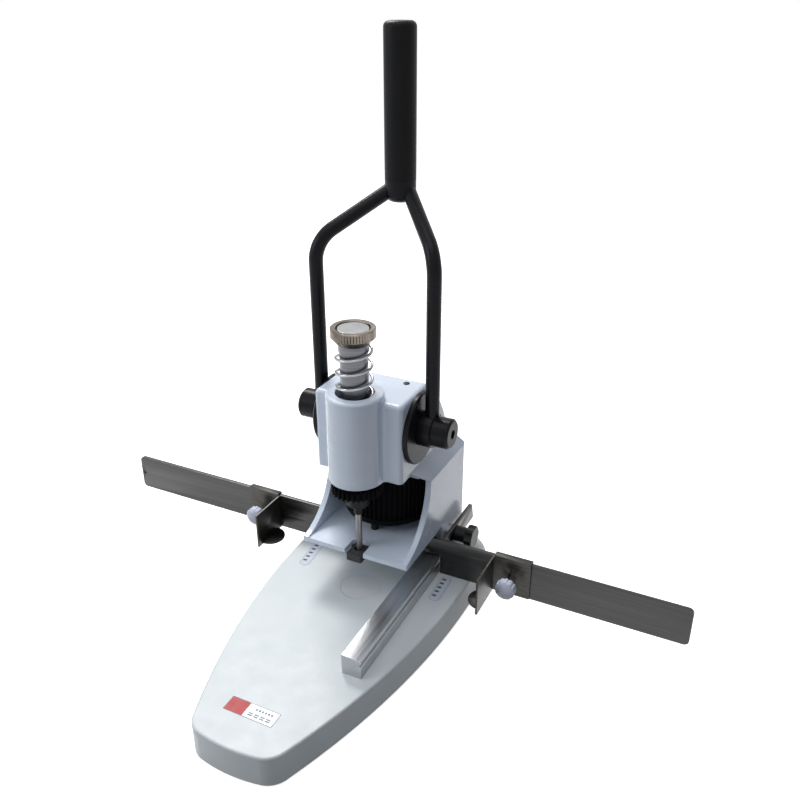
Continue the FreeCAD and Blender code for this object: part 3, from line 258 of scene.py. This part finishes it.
def enamel_skin():
    """Sprayed enamel: faint clouds of colour, uneven gloss, orange peel and soft corners."""
    effect, given, made, place = new_effect(
        "enamel_skin",
        [("Cloud", "NodeSocketFloat"), ("Gloss", "NodeSocketFloat"), ("Normal", "NodeSocketVector")],
        [("Corner", "NodeSocketFloat", 0.0008), ("Peel", "NodeSocketFloat", 0.1)])
    clouds = noise(effect, place, scale=22, detail=3, roughness=0.55)
    patches = noise(effect, place, scale=70, detail=4, roughness=0.6)
    orange_peel = noise(effect, place, scale=520, detail=2, roughness=0.5)
    dust = noise(effect, place, scale=3200, detail=1, roughness=0.5)
    effect.links.new(spread(effect, clouds), made["Cloud"])
    effect.links.new(spread(effect, patches, result=(-0.05, 0.05)), made["Gloss"])
    corner = soft_corner(effect, given["Corner"])
    peel = bump(effect, orange_peel, given["Peel"], distance=0.0004, before=corner)
    dusty = bump(effect, dust, strength=0.02, distance=0.0001, before=peel)
    effect.links.new(dusty, made["Normal"])
    return effect


def mixed(tree, factor, dark, light):
    """A colour between two."""
    mix = tree.nodes.new("ShaderNodeMix")
    mix.data_type = "RGBA"
    tree.links.new(factor, mix.inputs["Factor"])
    for label, colour in (("A", dark), ("B", light)):
        socket = [s for s in mix.inputs if s.name == label and s.type == "RGBA"][0]
        socket.default_value = colour + (1,)
    return [s for s in mix.outputs if s.type == "RGBA"][0]


def coating(name, effect, dark, light, roughness, metallic=0.0, mask="Cloud", skin=None, **settings):
    """A material whose colour, gloss and normal come from a shared effect."""
    material = bpy.data.materials.new(name)
    material.use_nodes = True
    tree = material.node_tree
    shader = tree.nodes["Principled BSDF"]
    shader.inputs["Metallic"].default_value = metallic
    for label, value in settings.items():
        shader.inputs[label.replace("_", " ")].default_value = value
    surface = tree.nodes.new("ShaderNodeGroup")
    surface.node_tree = effect
    for label, value in (skin or {}).items():
        surface.inputs[label].default_value = value
    tree.links.new(mixed(tree, surface.outputs[mask], dark, light), shader.inputs["Base Color"])
    gloss = tree.nodes.new("ShaderNodeMath")
    gloss.operation = "ADD"
    gloss.inputs[1].default_value = roughness
    tree.links.new(surface.outputs["Gloss"], gloss.inputs[0])
    tree.links.new(gloss.outputs["Value"], shader.inputs["Roughness"])
    tree.links.new(surface.outputs["Normal"], shader.inputs["Normal"])
    return material


def dress(material, *names):
    """Give CAD pieces a material, and smooth shading up to a crease."""
    for name in names:
        mesh = nodes[name].data
        mesh.materials.clear()
        mesh.materials.append(material)
        mesh.shade_smooth()
        mesh.set_sharp_from_angle(angle=CREASE)


ENAMEL = enamel_skin()
base_enamel = coating("base_enamel", ENAMEL, (0.68, 0.725, 0.735), (0.73, 0.77, 0.775), 0.36,
                      skin={"Corner": 0.0012, "Peel": 0.14}, Specular_IOR_Level=0.25)
dress(base_enamel, "base_plate")


# Labels
# Printed film stuck on the base plate: one in front and two beside the housing. They carry a
# red field, thin borders and plain marks, and no words. Each print lies a little higher than
# what it covers.
MM = 0.001
CORNER_STEPS = 8
FILM_HEIGHT = 0.10
FIELD_HEIGHT = 0.12
TOP_HEIGHT = 0.13
MARK_HEIGHT = 0.14

FRONT_LEFT = -21.4
FRONT_RIGHT = 17.2
FRONT_NEAR = -153.6
FRONT_FAR = -141.2
FRONT_CORNER = 0.6
FIELD_CORNER = 0.4
RED_RIGHT = -6.4
RED_BORDER = 0.3
WHITE_BORDER = 0.35

SIDE_LABELS = {"left": {"x": -56.6, "y": 3.0, "tilt": 5.0},
               "right": {"x": 59.4, "y": 8.0, "tilt": 1.5}}
SIDE_HALF_WIDTH = 5.2
SIDE_LENGTH = 34.0
SIDE_CORNER = 4.9
LINE_INSET = 0.9
LINE_CORNER = 4.0
INNER_INSET = 1.3
INNER_RIGHT_INSET = 1.5
INNER_CORNER = 3.6


def pill(x0, x1, y0, y1, radius):
    """The outline of a box with rounded corners, in millimetres."""
    points = []
    centres = ((x1 - radius, y1 - radius), (x0 + radius, y1 - radius),
               (x0 + radius, y0 + radius), (x1 - radius, y0 + radius))
    for quarter, (x, y) in enumerate(centres):
        for step in range(CORNER_STEPS + 1):
            angle = math.pi / 2 * (quarter + step / CORNER_STEPS)
            points.append((x + radius * math.cos(angle), y + radius * math.sin(angle)))
    return points


def marks(count, x, y, width, depth, radius, across=0.0, along=0.0):
    """A row of equal marks, each one step across or along from the last."""
    return [pill(x + across * k, x + across * k + width, y + along * k, y + along * k + depth, radius)
            for k in range(count)]


def skin_over(work, rings):
    """Close a chain of equal rings of corners into a skin with two flat ends."""
    for low, high in zip(rings, rings[1:]):
        for i in range(len(low)):
            j = (i + 1) % len(low)
            work.faces.new((low[i], low[j], high[j], high[i]))
    work.faces.new(list(reversed(rings[0])))
    work.faces.new(rings[-1])


def fixed_piece(name, work, material, crease=None):
    """A new piece that stands still with the frame; a crease angle shades it smooth."""
    mesh = bpy.data.meshes.new(name)
    work.to_mesh(mesh)
    work.free()
    mesh.materials.append(material)
    if crease is not None:
        mesh.shade_smooth()
        mesh.set_sharp_from_angle(angle=math.radians(crease))
    piece = bpy.data.objects.new(name, mesh)
    bpy.context.scene.collection.objects.link(piece)
    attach(piece, "frame")
    return piece


def print_film(name, outlines, height, material, tilt=0.0, pivot=(0, 0)):
    """Flat shapes on the base plate, in millimetres, turned round a point by some degrees."""
    work = bmesh.new()
    spin = Matrix.Rotation(math.radians(tilt), 2)
    for outline in outlines:
        spots = [Vector(pivot) + spin @ (Vector(point) - Vector(pivot)) for point in outline]
        skin_over(work, [[work.verts.new((p.x * MM, p.y * MM, z * MM)) for p in spots]
                         for z in (0, height)])
    fixed_piece(name, work, material)


def film_skin():
    """Printed film: ink that covers unevenly, an uneven gloss and a faint ripple."""
    effect, given, made, place = new_effect(
        "film_skin",
        [("Ink", "NodeSocketFloat"), ("Gloss", "NodeSocketFloat"), ("Normal", "NodeSocketVector")],
        [("Ripple", "NodeSocketFloat", 0.2)])
    ink_cover = noise(effect, place, scale=900, detail=4, roughness=0.7)
    patches = noise(effect, place, scale=160, detail=3, roughness=0.5)
    waves = noise(effect, place, scale=90, detail=2, roughness=0.5)
    effect.links.new(spread(effect, ink_cover), made["Ink"])
    effect.links.new(spread(effect, patches, result=(-0.06, 0.06)), made["Gloss"])
    effect.links.new(bump(effect, waves, given["Ripple"], distance=0.0003), made["Normal"])
    return effect


FILM = film_skin()


def ink(name, dark, light, roughness=0.45, shine=0.2):
    """Ink or bare film on a label."""
    return coating(name, FILM, dark, light, roughness, mask="Ink", Specular_IOR_Level=shine)


white_film = ink("white_film", (0.78, 0.80, 0.83), (0.84, 0.86, 0.89), roughness=0.3, shine=0.5)
red_ink = ink("red_ink", (0.52, 0.075, 0.08), (0.62, 0.115, 0.12))
grey_ink = ink("grey_ink", (0.15, 0.17, 0.21), (0.27, 0.29, 0.34))
clear_film = ink("clear_film", (0.64, 0.68, 0.72), (0.70, 0.74, 0.78), roughness=0.25, shine=0.25)
pale_ink = ink("pale_ink", (0.34, 0.42, 0.60), (0.44, 0.52, 0.70), roughness=0.4)
blue_ink = ink("blue_ink", (0.07, 0.09, 0.22), (0.13, 0.16, 0.32))

front_outline = pill(FRONT_LEFT, FRONT_RIGHT, FRONT_NEAR, FRONT_FAR, FRONT_CORNER)
white_outline = pill(RED_RIGHT, FRONT_RIGHT - WHITE_BORDER, FRONT_NEAR + WHITE_BORDER,
                     FRONT_FAR - WHITE_BORDER, FIELD_CORNER)
red_outline = pill(FRONT_LEFT + RED_BORDER, RED_RIGHT, FRONT_NEAR + RED_BORDER,
                   FRONT_FAR - RED_BORDER, FIELD_CORNER)
front_marks = marks(6, x=-0.4, y=-145.7, width=1.4, depth=1.6, radius=0.2, across=2.4)
for bar_y in (-151.2, -149.5):
    front_marks += marks(4, x=-3.4, y=bar_y, width=3.4, depth=1.0, radius=0.3, across=4.6)
print_film("label_front_edge", [front_outline], FILM_HEIGHT, grey_ink)
print_film("label_front_white", [white_outline], FIELD_HEIGHT, white_film)
print_film("label_front_red", [red_outline], FIELD_HEIGHT, red_ink)
print_film("label_front_marks", front_marks, TOP_HEIGHT, grey_ink)

for side, label in SIDE_LABELS.items():
    west = label["x"] - SIDE_HALF_WIDTH
    east = label["x"] + SIDE_HALF_WIDTH
    near = label["y"]
    far = near + SIDE_LENGTH
    leaning = {"tilt": label["tilt"], "pivot": (label["x"], near)}
    line = pill(west + LINE_INSET, east - LINE_INSET, near + LINE_INSET, far - LINE_INSET,
                LINE_CORNER)
    inside = pill(west + INNER_INSET, east - INNER_RIGHT_INSET, near + INNER_INSET,
                  far - INNER_INSET, INNER_CORNER)
    side_marks = marks(5, x=label["x"] - 3.1, y=near + 6.4, width=3.4, depth=2.2, radius=0.4, along=5.4)
    print_film("label_side_" + side, [pill(west, east, near, far, SIDE_CORNER)], FILM_HEIGHT, clear_film,
               **leaning)
    print_film("label_side_line_" + side, [line], FIELD_HEIGHT, pale_ink, **leaning)
    print_film("label_side_field_" + side, [inside], TOP_HEIGHT, clear_film, **leaning)
    print_film("label_side_marks_" + side, side_marks, MARK_HEIGHT, blue_ink, **leaning)


# Feet and cutting pad
# Black rubber feet pressed into the underside, and a round pad of pale dull nylon let into
# the top, which the bit cuts into at the end of its stroke.
def moulded_grain():
    """Moulded rubber and plastic: fine grain, pale specks, uneven gloss and soft corners."""
    effect, given, made, place = new_effect(
        "moulded_grain",
        [("Cloud", "NodeSocketFloat"), ("Speck", "NodeSocketFloat"), ("Gloss", "NodeSocketFloat"),
         ("Normal", "NodeSocketVector")],
        [("Corner", "NodeSocketFloat", 0.0003), ("Grain", "NodeSocketFloat", 0.25)])
    grain = noise(effect, place, scale=1500, detail=3, roughness=0.6)
    clouds = noise(effect, place, scale=60, detail=4, roughness=0.6)
    specks = noise(effect, place, scale=1100, detail=2, roughness=0.7)
    effect.links.new(spread(effect, clouds), made["Cloud"])
    effect.links.new(spread(effect, specks, source=(0.56, 0.66)), made["Speck"])
    effect.links.new(spread(effect, grain, result=(-0.06, 0.06)), made["Gloss"])
    corner = soft_corner(effect, given["Corner"])
    grainy = bump(effect, grain, given["Grain"], distance=0.0002, before=corner)
    effect.links.new(grainy, made["Normal"])
    return effect


GRAIN = moulded_grain()
foot_rubber = coating("foot_rubber", GRAIN, (0.012, 0.012, 0.013), (0.03, 0.03, 0.032), 0.75)
pad_nylon = coating("pad_nylon", GRAIN, (0.66, 0.68, 0.68), (0.72, 0.74, 0.74), 0.55)
dress(foot_rubber, "rubber_feet")
dress(pad_nylon, "cutting_mat")

# Housing
# One casting with two curved cheeks, the shelf, the head and the round boss in front, under
# gloss white enamel with a blue cast.
housing_enamel = coating("housing_enamel", ENAMEL, (0.72, 0.80, 0.92), (0.77, 0.845, 0.96), 0.24,
                         skin={"Corner": 0.0011, "Peel": 0.10}, Specular_IOR_Level=0.35,
                         Coat_Weight=0.25, Coat_Roughness=0.14)
dress(housing_enamel, "housing")

# Oil hole shade
# A black button set in the oil hole on top of the head. Its black is painted shade, which
# makes the hole look dark. Its stem sits in the hole and its button lies on the enamel.
OIL_HOLE_X = 21.5
OIL_HOLE_Y = 40.5
BOSS_RISE = 6.0
STEM_RADIUS = 1.9
STEM_DEPTH = 2.0
BUTTON_RADIUS = 2.5
BUTTON_SEAT = 0.02
BUTTON_EDGE = 0.25
SHOULDER_RADIUS = 2.3
SHOULDER_HEIGHT = 0.45
CROWN_RADIUS = 1.2
CROWN_HEIGHT = 0.6
PLUG_SIDES = 32

# The button's near-black colour is painted shade for the oil hole.
shaded_hole_black = coating("shaded_hole_black", GRAIN, (0.008, 0.008, 0.009), (0.014, 0.014, 0.015), 0.5,
                      Specular_IOR_Level=0.25)
head_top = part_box("housing")[1].z - BOSS_RISE * MM
plug_work = bmesh.new()
plug_rings = []
for radius, height in ((STEM_RADIUS, -STEM_DEPTH), (STEM_RADIUS, BUTTON_SEAT),
                       (BUTTON_RADIUS, BUTTON_SEAT), (BUTTON_RADIUS, BUTTON_EDGE),
                       (SHOULDER_RADIUS, SHOULDER_HEIGHT), (CROWN_RADIUS, CROWN_HEIGHT)):
    angles = [2 * math.pi * k / PLUG_SIDES for k in range(PLUG_SIDES)]
    plug_rings.append([plug_work.verts.new(((OIL_HOLE_X + radius * math.cos(a)) * MM,
                                            (OIL_HOLE_Y + radius * math.sin(a)) * MM,
                                            head_top + height * MM)) for a in angles])
skin_over(plug_work, plug_rings)
fixed_piece("shaded_oil_hole", plug_work, shaded_hole_black, crease=40)


# Shafts, gears and bushes
# Ground steel shafts that run in sintered bronze bushes. The rack's pinion and the two mitre
# gears are cut from steel, and the two gears that spin the bit are moulded in black plastic.
def brushed_metal():
    """Brushed or turned metal: streaks along one direction, smudges and soft corners."""
    effect, given, made, place = new_effect(
        "brushed_metal",
        [("Streak", "NodeSocketFloat"), ("Smudge", "NodeSocketFloat"), ("Gloss", "NodeSocketFloat"),
         ("Normal", "NodeSocketVector")],
        [("Stretch", "NodeSocketVector", (60, 60, 2600)), ("Corner", "NodeSocketFloat", 0.0002)])
    stretched = effect.nodes.new("ShaderNodeMapping")
    effect.links.new(given["Stretch"], stretched.inputs["Scale"])
    effect.links.new(place, stretched.inputs["Vector"])
    streaks = noise(effect, stretched.outputs["Vector"], scale=1.0, detail=4, roughness=0.65)
    smudges = noise(effect, place, scale=38, detail=4, roughness=0.6)
    effect.links.new(spread(effect, streaks, source=(0.25, 0.75)), made["Streak"])
    effect.links.new(spread(effect, smudges, source=(0.35, 0.7)), made["Smudge"])
    effect.links.new(spread(effect, streaks, source=(0.25, 0.75), result=(-0.08, 0.08)), made["Gloss"])
    corner = soft_corner(effect, given["Corner"])
    streaky = bump(effect, streaks, strength=0.12, distance=0.0002, before=corner)
    effect.links.new(streaky, made["Normal"])
    return effect


BRUSHED = brushed_metal()
ALONG_X = (14, 900, 1400)
ALONG_Y = (1400, 14, 1400)
ROUND_Z = (60, 60, 2600)


def metal(name, dark, light, roughness, streaks, mask="Streak"):
    """Bare metal with its streaks along one direction."""
    return coating(name, BRUSHED, dark, light, roughness, metallic=1.0, mask=mask,
                   skin={"Stretch": streaks})


ground_steel = metal("ground_steel", (0.30, 0.30, 0.31), (0.46, 0.46, 0.47), 0.3, ROUND_Z)
bronze = coating("bronze", GRAIN, (0.36, 0.24, 0.11), (0.46, 0.33, 0.17), 0.5, metallic=0.8)
gear_steel = coating("gear_steel", GRAIN, (0.24, 0.24, 0.25), (0.34, 0.34, 0.35), 0.38, metallic=1.0)
gear_plastic = coating("gear_plastic", GRAIN, (0.004, 0.004, 0.005), (0.007, 0.007, 0.008), 0.6,
                       Specular_IOR_Level=0.04)
dress(ground_steel, "cross_shaft", "lay_shaft", "jack_shaft", "spindle")
dress(bronze, "shaft_bushes", "jack_bushes", "quill_bush", "spindle_bushes", "spring_seat")
dress(gear_steel, "rack_pinion", "lay_mitre", "jack_mitre")
dress(gear_plastic, "drive_gear", "spindle_pinion")

# Quill
# A ground steel sleeve that slides down through the head. It carries the rack at its back and
# the spinning shaft inside.
quill_steel = metal("quill_steel", (0.075, 0.078, 0.085), (0.19, 0.19, 0.205), 0.32, ROUND_Z)
dress(quill_steel, "quill")

# Return spring
# One bright steel wire, cold wound into an open coil that stands on a seat on the head and
# lifts the cap. It is made again here, on the CAD spring's own line, and the CAD spring is
# hidden.
SPRING_WIRE = 0.0021
SPRING_TURNS = 4.5
STEPS_PER_TURN = 48
WIRE_SIDES = 14

spring_steel = metal("spring_steel", (0.28, 0.29, 0.30), (0.44, 0.45, 0.46), 0.18, ROUND_Z,
                     mask="Smudge")
spring_low, spring_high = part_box("return_spring")
coil_radius = (spring_high.x - spring_low.x - SPRING_WIRE) / 2
rise_per_turn = (spring_high.z - spring_low.z - SPRING_WIRE) / SPRING_TURNS
wire_angles = [2 * math.pi * k / WIRE_SIDES for k in range(WIRE_SIDES)]
spring_work = bmesh.new()
spring_rings = []
for step in range(int(SPRING_TURNS * STEPS_PER_TURN) + 1):
    turns = step / STEPS_PER_TURN
    angle = 2 * math.pi * turns
    outward = Vector((math.cos(angle), math.sin(angle), 0))
    heading = Vector((-outward.y * coil_radius, outward.x * coil_radius, rise_per_turn / (2 * math.pi)))
    sideways = heading.normalized().cross(outward)
    middle = outward * coil_radius
    middle.z = spring_low.z + SPRING_WIRE / 2 + rise_per_turn * turns
    spring_rings.append([spring_work.verts.new(
        middle + (outward * math.cos(a) + sideways * math.sin(a)) * SPRING_WIRE / 2)
        for a in wire_angles])
skin_over(spring_work, spring_rings)
spring = fixed_piece("spring_coil", spring_work, spring_steel, crease=60)
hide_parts("return_spring")
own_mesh(spring)

# Cap
# A knurled cap of warm nickel on top of the quill, with a polished steel disc lying in its
# recess.
cap_nickel = metal("cap_nickel", (0.10, 0.085, 0.07), (0.26, 0.225, 0.19), 0.24, ROUND_Z, mask="Smudge")
polished = metal("polished", (0.36, 0.365, 0.37), (0.52, 0.53, 0.54), 0.14, ROUND_Z)
dress(cap_nickel, "top_cap")
dress(polished, "cap_disc")

# Chuck and bit
# An oxide-black steel holder at the foot of the spinning shaft, and the hollow bit of warm
# grey tool steel in it. The guide's screw is of the same black steel.
oxide = coating("oxide", GRAIN, (0.010, 0.010, 0.011), (0.02, 0.02, 0.021), 0.45, metallic=0.4,
                Specular_IOR_Level=0.2)
bit_steel = metal("bit_steel", (0.17, 0.16, 0.165), (0.28, 0.26, 0.265), 0.34, ROUND_Z)
dress(oxide, "drill_chuck", "guide_screw")
dress(bit_steel, "drill_bit")

# Guide
# A block of black rubber with pale specks that sits in the shelf's notch, on a tongue that
# the black screw holds down.
guide_rubber = coating("guide_rubber", GRAIN, (0.010, 0.010, 0.013), (0.10, 0.10, 0.11), 0.6,
                       mask="Speck", skin={"Grain": 0.5})
dress(guide_rubber, "drill_guide")

# Covers, lever and grip
# Turned covers and a fork welded from round bar, all in black satin enamel, and a long black
# plastic sleeve pushed on the fork for the hand.
lever_enamel = coating("lever_enamel", ENAMEL, (0.005, 0.005, 0.007), (0.008, 0.008, 0.011), 0.3,
                       skin={"Corner": 0.0005, "Peel": 0.18}, Specular_IOR_Level=0.12)
grip_plastic = coating("grip_plastic", GRAIN, (0.006, 0.006, 0.007), (0.009, 0.009, 0.010), 0.42,
                       Specular_IOR_Level=0.10)
dress(lever_enamel, "side_cover_left", "side_cover_right", "lever_yoke", "hub_cap_left",
      "hub_cap_right")
dress(grip_plastic, "grip")

# Ruler and arms
# Sawn stainless strip, brushed along its length, with two arms of the same strip behind it.
# Their edges are broken by hand and catch the light.
EDGE_ANGLE = math.radians(35)
FLAT_ANGLE = math.radians(1)
WELD_GAP = 0.002
RULER_EDGE = 0.3


def soften(width, *names):
    """Break the sharp edges of flat-sided CAD pieces by a small width in millimetres."""
    for name in names:
        weld = nodes[name].modifiers.new("weld", "WELD")
        weld.merge_threshold = WELD_GAP * MM
        flatten = nodes[name].modifiers.new("flatten", "DECIMATE")
        flatten.decimate_type = "DISSOLVE"
        flatten.angle_limit = FLAT_ANGLE
        bevel = nodes[name].modifiers.new("bevel", "BEVEL")
        bevel.width = width * MM
        bevel.segments = 2
        bevel.limit_method = "ANGLE"
        bevel.angle_limit = EDGE_ANGLE
        bevel.harden_normals = True


ruler_steel = metal("ruler_steel", (0.050, 0.049, 0.048), (0.080, 0.078, 0.077), 0.36, ALONG_X)
dress(ruler_steel, "ruler_bar", "depth_arm_left", "depth_arm_right")
soften(RULER_EDGE, "ruler_bar", "depth_arm_left", "depth_arm_right")

# Knobs and studs
# Six-lobed knobs moulded in black plastic, which clamp the arms, on turned studs of plain
# steel.
knob_plastic = coating("knob_plastic", GRAIN, (0.007, 0.007, 0.007), (0.012, 0.012, 0.012), 0.4,
                       Specular_IOR_Level=0.3)
screw_steel = metal("screw_steel", (0.30, 0.30, 0.31), (0.46, 0.46, 0.47), 0.3, ALONG_Y)
dress(knob_plastic, "depth_knob_left", "depth_knob_right")
dress(screw_steel, "depth_stud_left", "depth_stud_right")

# Stops and thumb screws
# Stops folded from stainless sheet, darker than the ruler, that slide on it. Each is held by
# a screw with a head of pale lilac plastic.
STOP_EDGE = 0.25
stop_steel = metal("stop_steel", (0.036, 0.034, 0.032), (0.082, 0.078, 0.073), 0.36, ALONG_X)
thumb_plastic = coating("thumb_plastic", GRAIN, (0.58, 0.61, 0.74), (0.66, 0.68, 0.80), 0.3,
                        Subsurface_Weight=0.1)
dress(stop_steel, "stop_left", "stop_right")
soften(STOP_EDGE, "stop_left", "stop_right")
dress(thumb_plastic, "thumb_head_left", "thumb_head_right")
dress(screw_steel, "thumb_shank_left", "thumb_shank_right")

# Fence
# A drawn bar of bright aluminium with a groove in its side, screwed on from below. Drawing
# leaves streaks along its length.
FENCE_EDGE = 0.4
fence_metal = metal("fence_metal", (0.42, 0.43, 0.45), (0.60, 0.61, 0.63), 0.34, ALONG_Y)
dress(fence_metal, "fence")
soften(FENCE_EDGE, "fence")

# Screws under the base
# Socket screws of plain steel, sunk in the underside. Four hold the housing and two hold the
# fence.
dress(screw_steel, "housing_bolts", "fence_screws")
